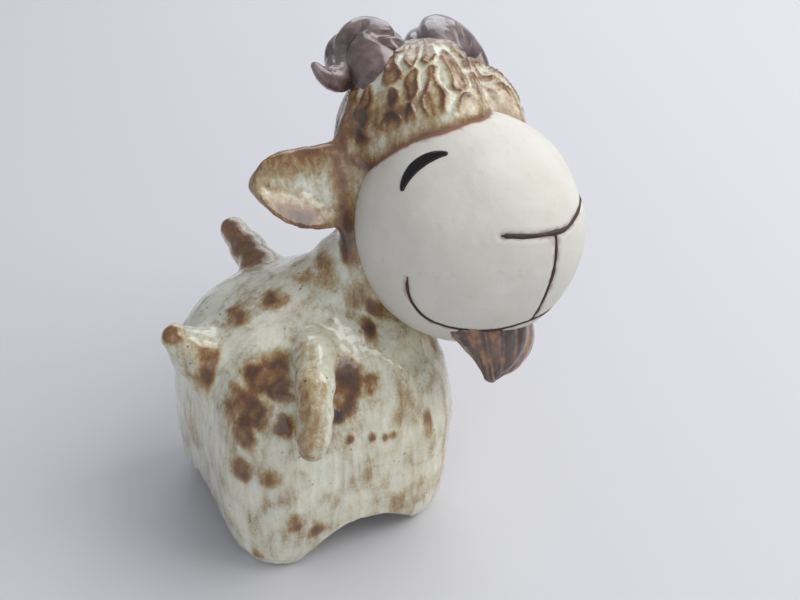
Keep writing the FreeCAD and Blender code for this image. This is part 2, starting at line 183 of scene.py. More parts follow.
def smooth_table(z, zs, values):
    """Values of a table along z, rounded between its rows."""
    total = 0
    for shift in (-2.5, -1.2, 0, 1.2, 2.5):
        total = total + np.interp(z + shift, zs, values)
    return total / 5


def square(p, half, corner):
    """Distance to an upright square post with rounded corners."""
    q = np.abs(p[:, :2]) - (half - corner)[:, None]
    outside = np.hypot(np.maximum(q[:, 0], 0), np.maximum(q[:, 1], 0))
    return outside + np.minimum(np.maximum(q[:, 0], q[:, 1]), 0) - corner


def bell(p):
    """The outside of the body: a square post that closes into a dome."""
    z = p[:, 2]
    p = p - np.stack([LEAN * np.exp(-(((z - LEAN_Z) / LEAN_FADE) ** 2)), 0 * z, 0 * z], 1)
    half = smooth_table(z, SECTION_Z, SECTION_HALF)
    corner = smooth_table(z, SECTION_Z, SECTION_CORNER)
    side = square(p, half, corner)
    # a level distance overstates the true one where the side slopes
    slope = np.interp(z, [0, 30, 42, 51, 57, 61], [1, 1, 0.93, 0.72, 0.52, 0.4])
    dome = ellipsoid(p, np.array([0, 0, DOME_Z]), np.array([HALF * 1.32, HALF * 1.32, CROWN - DOME_Z]))
    outer = smax(side * slope, np.where(z > DOME_Z, dome, -9), 4.0)
    return smax(outer, -z, 1.4)


def hollow(p):
    """The space inside the body, open below."""
    z = p[:, 2]
    stretch = (CROWN - WALL) / CROWN
    half = smooth_table(z / stretch, SECTION_Z, SECTION_HALF) - WALL
    corner = np.maximum(smooth_table(z / stretch, SECTION_Z, SECTION_CORNER) - WALL, 1)
    side = square(p, half, corner)
    return smax(side * np.interp(z, [0, 30, 50, 58], [1, 1, 0.7, 0.5]), z - HOLLOW_TOP, 3)


def clay_body(p):
    """The bell with an arch cut through it each way, which leaves four feet."""
    d = bell(p)
    for across in (p[:, 0], p[:, 1]):
        d = smax(d, ARCH_RADIUS - np.hypot(across, p[:, 2] + ARCH_RADIUS - ARCH_RISE), 1.6)
    return smax(d, -hollow(p), 1.2)


# the coils: points along each and its radius there
NECK = (
    [(4, -1, 49), (6.5, -1.5, 54), (11, -3, 60.5), (18, -5.5, 67), (27, -10, 73)],
    [11.5, 10.2, 9.5, 9, 9],
)
TAIL = ([(-15, 0, 38), (-21.5, 0, 43.5), (-26.3, 0, 49.3), (-30.2, 0, 54.8)], [8.6, 7.6, 5.4, 3.2])
ARM_RIGHT = (
    [
        (-4, -13, 52), (-6.4, -20, 54.6), (-9.4, -27, 53), (-11.4, -30.6, 48.4),
        (-12.5, -31.8, 44.6), (-12.9, -31.9, 41.2),
    ],
    [5.2, 4.5, 3.9, 3.6, 3.5, 3.1],
)
ARM_LEFT = ([(-1.5, 13, 50), (-1.8, 20, 52), (-2.4, 27, 53.6), (-3.3, 34, 55.4)], [5.4, 4.6, 4.0, 3.3])

# the mound of hair, in the head's frame
MOUND = np.array([0, 9, 17.0])
MOUND_RADII = np.array([22.5, 23, 26.3])


def hairline(q):
    """Positive inside the hair's part of the head: above a slanting plane, lifted where the fringe parts."""
    x, y, z = (q * (BALL / np.maximum(np.linalg.norm(q, axis=1), 1))[:, None]).T
    parting = 5.2 * np.exp(-(((x - 4) / 6.5) ** 2))
    over = (z + 0.31 * y - 17 - parting + 0.4 * noise(q * 0.22, 5)) * 0.95
    return smax(over, q[:, 1] - 14, 4)


def hair(q):
    reach = np.linalg.norm(q, axis=1)
    gap = hairline(q)
    mass = smin(ellipsoid(q, MOUND, MOUND_RADII), reach - BALL - 1.5, 3)
    # towards the hairline the hair thins to a rolled hem
    inward = np.maximum(gap, 0)
    thin = (reach - BALL - 1.7 - 1.0 * inward - 0.6 * inward**2) * 0.5
    mass = smax(mass, np.where(q[:, 1] < 10, thin, -9), 1.5)
    return smax(mass, -gap, 2.0)


EAR = np.array([  # along the ear from its root: x, y, z, half height, half thickness
    (14, 12.5, 13.5, 10.6, 2.6), (21, 13.8, 12.8, 9.7, 2.5), (26, 14.8, 11.9, 9.0, 2.3),
    (30, 15.8, 11.6, 8.8, 2.1), (34, 16.8, 11.8, 8.3, 2.0), (37, 17.6, 12.2, 7.4, 1.9),
    (39.2, 18.2, 12.7, 6.1, 1.8), (40.8, 18.7, 13.1, 4.5, 1.7), (41.8, 19, 13.4, 2.8, 1.5),
])
EAR_LIFT = {-1: (0, 0), 1: (24, 7)}  # for each side, degrees that the ear is turned up and mm raised
EAR_PIVOT = (22.0, 13, 13)


def ear_frame(q, side):
    """Points in the frame of the table above, in which both ears are alike."""
    lift, rise = EAR_LIFT[side]
    mirror = np.array([side, 1, 1])
    pivot = EAR_PIVOT * mirror
    return ((q - pivot - np.array([0, 0, rise])) @ spin(1, -side * lift) + pivot) * mirror


def ear(q, side):
    """A leaf of clay, dished towards the front."""
    local = ear_frame(q, side)
    x = local[:, 0]
    y0, z0, tall, thick = (np.interp(x, EAR[:, 0], EAR[:, i]) for i in (1, 2, 3, 4))
    v = (local[:, 2] - z0) / tall
    # the dish: the middle is pushed back, the rim stays forward
    y = local[:, 1] - y0 - 3.0 * step(20, 30, x) * (1 - np.clip(v * v, 0, 1)) + 1.0
    leaf = np.sqrt((v * 0.98) ** 2 + (y / thick) ** 2) - 1
    d = leaf * np.minimum(thick, 2.4) * 0.8
    return smax(d, smax(x - EAR[-1, 0], 10 - x, 1), 0.8)


def parts(p):
    """Distance to each glazed part; the names are the nodes'."""
    q = to_head(p)
    return {
        "body_shell": clay_body(p),
        "neck": tube(p, *NECK),
        "tail": tube(p, *TAIL),
        "arm_right": tube(p, *ARM_RIGHT),
        "arm_left": tube(p, *ARM_LEFT),
        "hair_cap": hair(q),
        "ear_right": ear(q, -1),
        "ear_left": ear(q, 1),
    }


def glazed(p):
    """Distance to all the glazed clay: luted together, and cut away for the two hollows."""
    d = parts(p)
    inside_body = -hollow(p)
    inside_ball = BALL - SEAT - np.linalg.norm(to_head(p), axis=1)
    total = smin(d["body_shell"], smax(d["neck"], inside_body, 1), 7)
    total = smin(total, smax(d["tail"], inside_body, 1), 4.5)
    total = smin(total, smax(d["arm_right"], inside_body, 1), 0.9)
    total = smin(total, smax(d["arm_left"], inside_body, 1), 2.4)
    head = smin(d["hair_cap"], d["ear_right"], 3.2)
    head = smin(head, d["ear_left"], 3.2)
    total = smin(total, head, 4)
    return smax(total, inside_ball, 0.3)


# -------------------- surface from the field
BLOCK = 6  # grid steps along a block that is first judged as a whole
CHUNK = 400000  # points worked out at once


def sampled(field, low, counts, h):
    """The field on a grid: exact near its surface, elsewhere only inside or outside."""
    cells = np.ceil(counts / BLOCK).astype(int)
    steps = [low[i] + h * BLOCK * (np.arange(cells[i]) + 0.5) for i in range(3)]
    centres = np.stack(np.meshgrid(*steps, indexing="ij"), -1)
    rough = field(centres.reshape(-1, 3)).reshape(cells)

    def filled(blocks):
        fine = blocks.repeat(BLOCK, 0).repeat(BLOCK, 1).repeat(BLOCK, 2)
        return fine[: counts[0], : counts[1], : counts[2]]

    values = filled(np.where(rough > 0, 9.0, -9.0).astype(np.float32)).copy()
    near = np.argwhere(filled(np.abs(rough) < h * BLOCK * 0.95 + 2.0))
    for start in range(0, len(near), CHUNK):
        some = near[start : start + CHUNK]
        values[tuple(some.T)] = field(low + some * h)
    return values


def net_vertices(values, cells):
    """For each cell that the surface crosses, the mean of the places where it cuts the cell's edges."""
    total = np.zeros((len(cells), 3))
    count = np.zeros(len(cells))
    for a in np.ndindex(2, 2, 2):
        for axis in range(3):
            if a[axis]:
                continue
            b = list(a)
            b[axis] = 1
            va = values[tuple((cells + a).T)]
            vb = values[tuple((cells + b).T)]
            cross = (va < 0) != (vb < 0)
            point = np.array(a, float) + np.zeros((len(cells), 3))
            point[:, axis] += np.where(cross, va / np.where(cross, va - vb, 1), 0)
            total += point * cross[:, None]
            count += cross
    return cells + total / count[:, None]


def net_quads(inside, index):
    """A quad round each grid edge that the surface cuts, facing outward."""
    quads = []
    for axis in range(3):
        u, v = (axis + 1) % 3, (axis + 2) % 3
        take, ahead = [slice(1, -1)] * 3, [slice(1, -1)] * 3
        take[axis], ahead[axis] = slice(0, -1), slice(1, None)
        shift = np.array([1, 1, 1])
        shift[axis] = 0
        at = np.argwhere(inside[tuple(take)] != inside[tuple(ahead)]) + shift
        outward = inside[tuple(at.T)]
        ring = []
        for du, dv in ((-1, -1), (0, -1), (0, 0), (-1, 0)):
            cell = at.copy()
            cell[:, u] += du
            cell[:, v] += dv
            ring.append(index[tuple(cell.T)])
        ring = np.stack(ring, 1)
        ring[~outward] = ring[~outward][:, ::-1]
        quads.append(ring)
    quads = np.concatenate(quads)
    return quads[(quads >= 0).all(1)]


def grid_surface(field, low, high, h):
    """Quads of the zero surface of a field, by surface nets on a grid of step h."""
    values = sampled(field, low, np.ceil((high - low) / h).astype(int) + 2, h)
    inside = values < 0
    mixed = np.zeros(np.array(inside.shape) - 1, bool)
    for dx, dy, dz in np.ndindex(2, 2, 2):
        corner = inside[dx : dx + mixed.shape[0], dy : dy + mixed.shape[1], dz : dz + mixed.shape[2]]
        mixed |= corner != inside[:-1, :-1, :-1]
    cells = np.argwhere(mixed)
    index = np.full(mixed.shape, -1, np.int64)
    index[tuple(cells.T)] = np.arange(len(cells))
    return low + net_vertices(values, cells) * h, net_quads(inside, index)


def gradient(field, p):
    reach = 0.12
    out = np.empty_like(p)
    for i in range(3):
        shift = np.zeros(3)
        shift[i] = reach
        out[:, i] = (field(p + shift) - field(p - shift)) / (2 * reach)
    return out


def settle(field, p):
    """Points moved onto the field's surface, in two steps."""
    for _ in range(2):
        g = gradient(field, p)
        steepness = np.maximum((g * g).sum(1), 0.05)
        p = p - np.clip(field(p) / steepness, -0.6, 0.6)[:, None] * g
    return p


def vertex_normals(vertices, faces):
    a = vertices[faces[:, 2]] - vertices[faces[:, 0]]
    b = vertices[faces[:, 3]] - vertices[faces[:, 1]]
    n = np.cross(a, b)
    total = np.zeros_like(vertices)
    for i in range(4):
        np.add.at(total, faces[:, i], n)
    return total / np.maximum(np.linalg.norm(total, axis=1), 1e-9)[:, None]


# -------------------- relief and colour of the glazed clay
def body_relief(p):
    """Combed clay: its height in mm, and the strokes, lumps and fine comb marks that make it up."""
    run = p * np.array([0.34, 0.34, 0.11])
    strokes = ridged(run + 0.5 * noise(p * 0.12, 3)[:, None], 11)
    lumps = fractal(p * 0.16, 3, 21)
    fine = ridged(p * np.array([0.8, 0.8, 0.3]), 31)
    height = 0.13 * np.clip(strokes, -0.6, 1) + 0.30 * lumps + 0.03 * fine
    return height, strokes, lumps, fine


def blob(p, centre, radii, seed):
    """A ragged patch: 1 in its middle, 0 outside."""
    u = (p - np.array(centre)) / np.array(radii)
    r = np.linalg.norm(u, axis=1) + 0.5 * fractal(p * 0.22, 3, seed)
    return step(1.35, 0.35, r)


RUST = [  # where the iron clay breaks through on the body: centre, radii and strength
    ((-22, -18, 46), (4.5, 5, 6), 1), ((-18, -17, 50.5), (4, 5, 3.5), 1), ((-14, -17, 53), (4.5, 4, 3), 0.9),
    ((-14.5, -20.5, 50), (3, 4, 4), 1.1), ((-16, -25, 43.5), (2.6, 3, 3.4), 0.9),
    ((-24, -21, 40), (3, 3.4, 4), 0.8), ((-25.5, -21, 31.5), (2.2, 3, 3.5), 0.6),
    ((-20.5, -26.5, 30.5), (2.2, 3, 3), 0.6), ((-16, -28, 17), (2.2, 3, 2.6), 0.5),
    ((-12, -28, 12.5), (2, 3, 2), 0.5), ((0, -23, 50), (3.4, 5, 6), 0.85), ((-2.5, -25, 45), (3, 4, 5), 0.75),
    ((-4.6, -26.7, 42.5), (1.6, 3, 2), 1.1), ((4.5, -25, 46.5), (2, 3, 3), 0.6),
    ((8, -17, 54.5), (2.4, 5, 3), 1), ((5, -11, 60), (2.4, 4, 3), 0.9), ((7.5, -9, 66), (3, 3, 6), 0.8),
    ((-16, 0, 56), (5, 5, 1.6), 0.6), ((-8, -3, 59.5), (3.5, 3, 2.5), 0.6),
    ((17, -27.5, 32), (1.4, 3, 5), 0.8),
    ((24, -18, 43), (1.8, 3, 4), 0.7), ((-24.5, -22, 5), (2, 2, 3), 0.7), ((-0.5, -28.5, 23), (4, 3, 6), 0.3),
    ((11, -28, 38), (3, 3, 6), 0.25), ((22, -23, 20), (3, 4, 6), 0.35), ((-24, 14, 42), (4, 6, 6), 0.8),
    ((0, 26, 44), (8, 4, 5), 0.7), ((24, 10, 44), (4, 7, 5), 0.6), ((20, 24, 32), (4, 4, 7), 0.5),
    ((-14, 27, 28), (5, 4, 6), 0.5), ((-28, 4, 24), (3, 5, 5), 0.4),
]
DOTS = [(-2.4, 36), (2.9, 34.4), (6.0, 33.2), (7.9, 33), (-4.6, 42.7)]  # raised beads on the flank: x, z


def body_coat(p):
    """Height and rust of the body's glaze, and its lumps."""
    height, strokes, lumps, fine = body_relief(p)
    rust = 0.15 + 0.10 * np.clip(strokes, -0.5, 1) + 0.20 * lumps + 0.03 * fine
    patches = np.zeros(len(p))
    for n, (centre, radii, strength) in enumerate(RUST):
        patches = np.maximum(patches, strength * blob(p, centre, radii, 100 + n))
    rust = rust + patches * (0.55 + 0.22 * noise(p * 0.35, 71))
    height = height + 0.2 * patches
    for x, z in DOTS:
        r = np.hypot(p[:, 0] - x, (p[:, 2] - z) * 0.9)
        bead = np.exp(-((r / 1.1) ** 2)) * (p[:, 1] < -20)
        height = height + 0.5 * bead
        rust = rust + 0.45 * step(0.1, 0.9, bead)
    low = step(16, 4, p[:, 2])
    rust = rust + 0.10 * low * noise(p * np.array([0.4, 0.4, 0.2]), 73)
    return height, rust, lumps


COILS = {  # the luted coils: their points and radii, and which way is outward along their top line
    "arm_right": (ARM_RIGHT, (-0.75, -0.62, 0.25)),
    "arm_left": (ARM_LEFT, (-0.55, -0.25, 0.8)),
    "tail": (TAIL, (-0.5, -0.6, 0.62)),
}


def coil_place(p, points):
    """How far along a coil each point lies, 0..1, and its direction out from the coil's middle line."""
    points = np.asarray(points, float)
    best = np.full(len(p), 1e9)
    along = np.zeros(len(p))
    off = np.zeros_like(p)
    for n, (a, b) in enumerate(zip(points[:-1], points[1:])):
        ab = b - a
        t = np.clip(((p - a) @ ab) / (ab @ ab), 0, 1)
        v = p - a - t[:, None] * ab
        d = np.linalg.norm(v, axis=1)
        use = d < best
        best = np.where(use, d, best)
        along = np.where(use, n + t, along)
        off = np.where(use[:, None], v / np.maximum(d, 1e-6)[:, None], off)
    return along / (len(points) - 1), off


def coil_coat(p, name):
    """Height and rust of a coil: iron shows along its top, pale glaze gathers on both sides."""
    (points, _), top = COILS[name]
    along, off = coil_place(p, points)
    facing = off @ (np.array(top) / np.linalg.norm(top)) + 0.16 * noise(p * 0.35, 75)
    stripe = step(0.60, 0.92, facing)
    side = np.exp(-(((facing - 0.55) / 0.13) ** 2))
    tone = {"arm_right": 0.24 + 0.30 * step(0.34, 0.16, along), "arm_left": 0.46, "tail": 0.40}[name]
    rust = 0.18 + tone * stripe + 0.14 * side + 0.05 * noise(p * 0.9, 79)
    if name == "tail":
        rust = rust + 0.5 * blob(p, (-24.5, -5, 48), (4, 3.5, 5), 78)
    return 0.12 * stripe + 0.1 * noise(p * 0.6, 81), rust


def polar(q):
    """Azimuth (0 ahead, + to the goat's left) and angle from the top about the middle of the hair mound."""
    u = q - MOUND
    flat = np.hypot(u[:, 0], u[:, 1])
    return np.arctan2(u[:, 0], -u[:, 1]), np.arctan2(flat, u[:, 2])


def strands(q):
    """Rolled locks that run down from the crown, in rows of drop-shaped loops.

    Gives the rolls, the fill of the loops, the comb marks, and the angle from the top."""
    turn, fall = polar(q)
    warp = 0.34 * noise(q * 0.12, 41) + 0.12 * noise(q * 0.35, 42)
    u = turn * 24 / (2 * math.pi) + warp
    cell = np.floor(u)
    middle = u - cell - 0.5
    key = np.mod(cell * 0.618, 1)
    t = np.mod(fall * 23 / 11 + key + 0.35 * noise(q * 0.2, 43), 1)
    wide = 0.43 * np.sin(math.pi * t) ** 0.7 * (0.45 + 0.65 * t)
    roll = np.exp(-(((np.abs(middle) - wide) / 0.085) ** 2)) * step(0, 0.12, t) * step(1, 0.94, t)
    fill = step(wide + 0.03, wide - 0.06, np.abs(middle)) * step(0.02, 0.1, t) * step(1, 0.93, t)
    drawn = np.stack([turn * 9, fall * 2.2, q[:, 1] * 0.02], 1)
    comb = ridged(drawn + 0.3 * noise(q * 0.2, 44)[:, None], 45)
    return roll, fill, np.clip(comb, -0.4, 1), fall


def hair_coat(q):
    """Height and rust of the hair: locks, a smooth combed crown and a rolled hem, with painted shade in the
    crease under the hem's edge.
    """
    roll, fill, comb, fall = strands(q)
    gap = hairline(q)
    front = step(14, 8, q[:, 1])
    hem = step(2.8, 1.0, gap) * front
    crown = step(0.55, 0.30, fall)
    locks = step(0.22, 0.5, fall) * (1 - hem) * step(16, 6, q[:, 1])
    side = step(-13, -20, q[:, 0]) * step(0.9, 1.3, fall)
    height = locks * (0.55 * roll + 0.22 * fill) + 0.22 * comb * (1 - locks * 0.7) * (1 - hem)
    height = height + 0.25 * fractal(q * 0.22, 2, 91) - 0.35
    rust = 0.25 + locks * (0.32 * roll + 0.30 * fill * (0.75 + 0.6 * comb)) + 0.12 * noise(q * 0.4, 95)
    bare = crown * 0.26 + side * 0.34 + 0.30 * step(8, 18, q[:, 1])
    rust = rust + bare * (0.8 + 0.5 * comb) * (1 - hem)
    # painted shade: a dark band along the hem's lower edge, in the crease where the hair meets the face
    rust = rust + 0.08 * hem + 0.5 * np.exp(-(((gap + 0.4) / 0.7) ** 2)) * front
    return height, rust


def ear_coat(q, back):
    """Height and rust of the ears: amber rims, pale pooled middles, and painted shade, darker where they face
    back.
    """
    rust = np.full(len(q), 0.45)
    for side in (-1, 1):
        x, _, z = ear_frame(q, side).T
        v = (z - np.interp(x, EAR[:, 0], EAR[:, 2])) / np.interp(x, EAR[:, 0], EAR[:, 3])
        rim = np.maximum(step(0.62, 0.95, np.abs(v)), step(41, 44, x))
        pool = np.exp(-(((x - 29 - 5 * v) / 4.5) ** 2 + ((v + 0.12) / 0.42) ** 2))
        spot = np.exp(-(((x - 34) / 4.0) ** 2 + ((v + 0.72) / 0.22) ** 2))
        root = np.exp(-(((x - 24.5) / 1.6) ** 2)) * step(0.9, -0.2, v)
        tone = 0.38 + 0.10 * rim + 0.10 * step(0.2, 0.7, v) - 0.20 * pool + 0.5 * spot + 0.35 * root
        tone = tone + 0.07 * noise(q * 0.45, 97) + 0.06 * noise(q * 1.1, 98)
        rust = np.where(x > 10, tone, rust)
    # painted shade: the sides of the ears that face back are drawn darker
    return 0.16 * fractal(q * 0.45, 2, 99), rust + 0.2 * step(0.2, 0.9, back)


def dress(p, normal):
    """Relief height in mm, rust 0..1 and coolness 0..1 for every point of the glazed clay. The rust also
    holds painted shade at the hair's hem and on the ears' backs; the coolness holds painted light, low on the
    body's lit side.
    """
    q = to_head(p)
    d = parts(p)
    lower = np.minimum.reduce([d["body_shell"], d["neck"], d["tail"], d["arm_right"], d["arm_left"]])
    upper = np.minimum.reduce([d["hair_cap"], d["ear_right"], d["ear_left"]])
    is_head = step(-1.0, 1.0, lower - upper)
    is_ear = step(-1.2, 1.0, d["hair_cap"] - np.minimum(d["ear_right"], d["ear_left"]))

    height, rust, lumps = body_coat(p)
    for name in COILS:
        near = step(1.6, -0.6, d[name] - d["body_shell"])
        coil_height, coil_rust = coil_coat(p, name)
        height = toward(height, coil_height, near)
        rust = toward(rust, coil_rust, near)
    near_neck = step(1.6, -0.6, d["neck"] - d["body_shell"])
    rust = toward(rust, 0.30 + 0.25 * noise(p * 0.3, 83), near_neck)

    hair_height, hair_rust = hair_coat(q)
    # the backward facing of each normal gives the ears' painted shade
    ear_height, ear_rust = ear_coat(q, (normal @ TURN)[:, 1])
    height = toward(height, toward(hair_height, ear_height, is_ear), is_head)
    rust = toward(rust, toward(hair_rust, ear_rust, is_ear), is_head)
    # painted light: the body is drawn warmer and paler on its lit side, towards +X, and cooler on its shaded
    # side; the lumps add a random tone
    body_cool = 0.36 + 0.5 * lumps - 0.4 * step(-14, 14, p[:, 0] - p[:, 2] * 0.3)
    cool = toward(body_cool, 0.5 + 0.2 * is_ear, is_head)

    # nothing is modelled on the inner walls of the two hollows
    in_body = step(1.5, 0.3, np.abs(hollow(p)))
    in_head = step(1.2, 0.2, np.abs(np.linalg.norm(q, axis=1) - BALL + SEAT))
    inner = np.maximum(in_body, in_head)
    rust = np.clip(rust * (1 - inner * 0.5) + 0.3 * inner, 0, 1.1)
    return height * (1 - inner), rust, np.clip(cool, 0, 1)


# -------------------- objects
def placed(name, data):
    item = bpy.data.objects.new(name, data)
    bpy.context.scene.collection.objects.link(item)
    return item


def make(name, vertices, faces, node, slot, material, normals=None, lids=0, **attributes):
    """A piece that takes a CAD node's place. Its last faces may be lids, which are flat and hidden."""
    mesh = bpy.data.meshes.new(name)
    mesh.from_pydata(((vertices + MIDDLE) * MM).tolist(), [], faces)
    mesh.polygons.foreach_set("use_smooth", np.arange(len(faces)) < len(faces) - lids)
    for key, values in attributes.items():
        mesh.attributes.new(key, "FLOAT", "POINT").data.foreach_set("value", np.asarray(values, np.float32))
    mesh.materials.append(material)
    mesh.update()
    if normals is not None:
        # where a corner's normal is zero, Blender keeps the face's own
        skin = [v for face in faces[: len(faces) - lids] for v in face]
        corners = np.zeros((len(mesh.loops), 3))
        corners[: len(skin)] = normals[skin]
        mesh.normals_split_custom_set(corners.tolist())
    piece = placed(name, mesh)
    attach(piece, "root")
    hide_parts(node)


def rings_of(faces):
    """The open edges of a set of quads, as simple closed rings of vertex numbers."""
    a = faces.ravel()
    b = np.roll(faces, -1, 1).ravel()
    size = int(faces.max()) + 1
    keys, count = np.unique(a.astype(np.int64) * size + b, return_counts=True)
    reverse = (keys % size) * size + keys // size
    at = np.minimum(np.searchsorted(keys, reverse), len(keys) - 1)
    spare = count - np.where(keys[at] == reverse, count[at], 0)
    following = {}
    for key, times in zip(keys[spare > 0].tolist(), spare[spare > 0].tolist()):
        following.setdefault(key // size, []).extend([key % size] * times)
    rings = []
    while following:
        start = next(iter(following))
        path, place = [start], {start: 0}
        while path[-1] in following:
            options = following[path[-1]]
            v = options.pop()
            if not options:
                del following[path[-1]]
            if v in place:
                first = place[v]
                rings.append(path[first:])
                for gone in path[first + 1 :]:
                    del place[gone]
                path = path[: first + 1]
            else:
                place[v] = len(path)
                path.append(v)
    return rings


def lids_over(rings, vertices, normals):
    """A hub for each ring, sunk below the skin, and the triangles that close the ring with it."""
    hubs, lids = [], []
    for ring in rings:
        middle = vertices[ring].mean(0)
        reach = np.linalg.norm(vertices[ring] - middle, axis=1).mean()
        hub = len(vertices) + len(hubs)
        hubs.append(middle - (0.3 * reach + 0.5) * normals[ring].mean(0))
        lids += [[ring[(i + 1) % len(ring)], ring[i], hub] for i in range(len(ring))]
    return np.array(hubs).reshape(-1, 3), lids


GLAZED = ["body_shell", "neck", "tail", "arm_right", "arm_left", "hair_cap", "ear_right", "ear_left"]


def owners(vertices, quads):
    """The piece that each quad belongs to: the nearest part, evened out so that the joins run smoothly."""
    d = parts(vertices)
    nearest = np.argmin(np.stack([d[name] for name in GLAZED], 1), 1)
    weight = np.eye(len(GLAZED))[nearest]
    edges = np.concatenate([quads[:, [i, (i + 1) % 4]] for i in range(4)])
    for _ in range(24):
        total = weight.copy()
        for n in range(len(GLAZED)):
            total[:, n] += np.bincount(edges[:, 0], weight[edges[:, 1], n], len(vertices))
        weight = total / total.sum(1)[:, None]
    return np.argmax(weight[quads].sum(1), 1)


def glazed_pieces(material):
    """The glazed clay as one skin, then parted along the joins and closed piece by piece."""
    low = np.array([-HALF - 9, -HALF - 13, -1.5])
    high = np.array([HEAD[0] + 48, HALF + 13, HEAD[2] + 45])
    vertices, quads = grid_surface(glazed, low, high, VOXEL)
    vertices = settle(glazed, vertices)
    vertices[:, 2] = np.maximum(vertices[:, 2], 0)
    normals = vertex_normals(vertices, quads)
    owner = owners(vertices, quads)
    height, rust, cool = dress(vertices, normals)
    height = height * step(0.0, 2.0, vertices[:, 2])
    vertices = vertices + normals * height[:, None]
    vertices[:, 2] = np.maximum(vertices[:, 2], 0)
    normals = vertex_normals(vertices, quads)
    for n, name in enumerate(GLAZED):
        used, mine = np.unique(quads[owner == n], return_inverse=True)
        mine = mine.reshape(-1, 4)
        hubs, lids = lids_over(rings_of(mine), vertices[used], normals[used])
        plain = np.zeros(len(hubs))
        make(
            name + "_clay", np.concatenate([vertices[used], hubs]), mine.tolist() + lids,
            name, "fleece_glaze", material, normals[used], len(lids),
            rust=np.concatenate([rust[used], plain]), cool=np.concatenate([cool[used], plain]),
        )


# -------------------- the face
def aim(azimuth, elevation):
    """The direction at these degrees from straight ahead, + to the goat's left and + up."""
    a, e = np.radians(azimuth), np.radians(elevation)
    return np.stack([np.sin(a) * np.cos(e), -np.cos(a) * np.cos(e), np.sin(e) + 0 * a], -1)


MUZZLE = aim(0, -6)
# the drawn lines, as azimuths and elevations on the ball
NOSE = [(-30, -7.3), (-17, -8.5), (-5, -8), (3, -6.5), (12, -1.5), (24, 5), (36, 10)]
PHILTRUM = [(-4, -8.5), (-2, -21), (2, -38), (11, -57.5)]
MOUTH = [
    (-80, -22), (-83, -28), (-85, -36), (-84, -45), (-76, -53), (-50, -61), (-17, -62.5),
    (11, -58), (32, -53), (52, -46), (70, -36), (80, -27),
]
GROOVES = [(NOSE, 0.75, 0.30), (PHILTRUM, 0.6, 0.26), (MOUTH, 0.65, 0.26)]  # line, half width, depth


def curve(points, count):
    """A smooth curve (Catmull-Rom) through x, y, z points, evenly sampled; a fourth column goes along."""
    points = np.asarray(points, float)
    ends = np.concatenate([[2 * points[0] - points[1]], points, [2 * points[-1] - points[-2]]])
    dense = []
    for i in range(len(points) - 1):
        a, b, c, d = ends[i : i + 4]
        t = np.linspace(0, 1, 24, endpoint=False)[:, None]
        cubic = (3 * b - a - 3 * c + d) * t**3
        dense.append(0.5 * (2 * b + (c - a) * t + (2 * a - 5 * b + 4 * c - d) * t**2 + cubic))
    dense = np.concatenate(dense + [points[-1:]])
    gap = np.linalg.norm(np.diff(dense[:, :3], axis=0), axis=1)
    run = np.concatenate([[0], np.cumsum(gap)])
    at = np.linspace(0, run[-1], count)
    return np.stack([np.interp(at, run, column) for column in dense.T], 1)


def line_points(points, count):
    return curve([aim(*p) * BALL for p in points], count)


EYE_ROWS = 60
EYE_CURVE, EYE_HOLLOW, EYE_SHIFT = 8.2, 12.56, 6.26  # a crescent's outer and inner radius, their middles' gap


def eye_points(side):
    """The middle line of an eye's crescent, level with the ball, and how thick it is there."""
    away = aim(side * 58, 19)
    level = np.cross([0, 0, 1.0], away) * side
    level = level / np.linalg.norm(level)
    lift = np.cross(away, level)
    spread = math.acos((EYE_HOLLOW**2 - EYE_CURVE**2 - EYE_SHIFT**2) / (2 * EYE_CURVE * EYE_SHIFT))
    a = np.linspace(-spread, spread, EYE_ROWS)
    inner = -EYE_SHIFT * np.cos(a) + np.sqrt(EYE_HOLLOW**2 - (EYE_SHIFT * np.sin(a)) ** 2)
    radius = (EYE_CURVE + inner) / 2
    turned = a + math.radians(55 * side)
    flat = radius[:, None] * (np.cos(turned)[:, None] * level + np.sin(turned)[:, None] * lift)
    return away * BALL + flat, np.maximum(EYE_CURVE - inner, 0)


def face_radius(d):
    """How far out the bisque reaches in each direction from the middle of the ball."""
    # the muzzle is a smaller ball that stands forward in the large one
    along = d @ MUZZLE
    shift, cap = 8.0, 19.3
    root = along * shift + np.sqrt(np.maximum((along * shift) ** 2 - shift**2 + cap**2, 0))
    r = smax(np.full(len(d), BALL), root, 1.1)
    for side in (-1, 1):
        from_eye = np.degrees(np.arccos(np.clip(d @ aim(side * 50, 14), -1, 1)))
        r = r - 1.0 * np.exp(-((from_eye / 17) ** 2))
    return r + 0.12 * fractal(d * 4.3, 3, 201) + 0.035 * fractal(d * 17, 2, 205)


def line_gap(d, drawn):
    """Distance in mm over the ball from each direction to a line drawn on it."""
    unit = drawn / np.linalg.norm(drawn, axis=1)[:, None]
    nearest = np.concatenate([(some @ unit.T).max(1) for some in np.array_split(d, 8)])
    return BALL * np.arccos(np.clip(nearest, -1, 1))


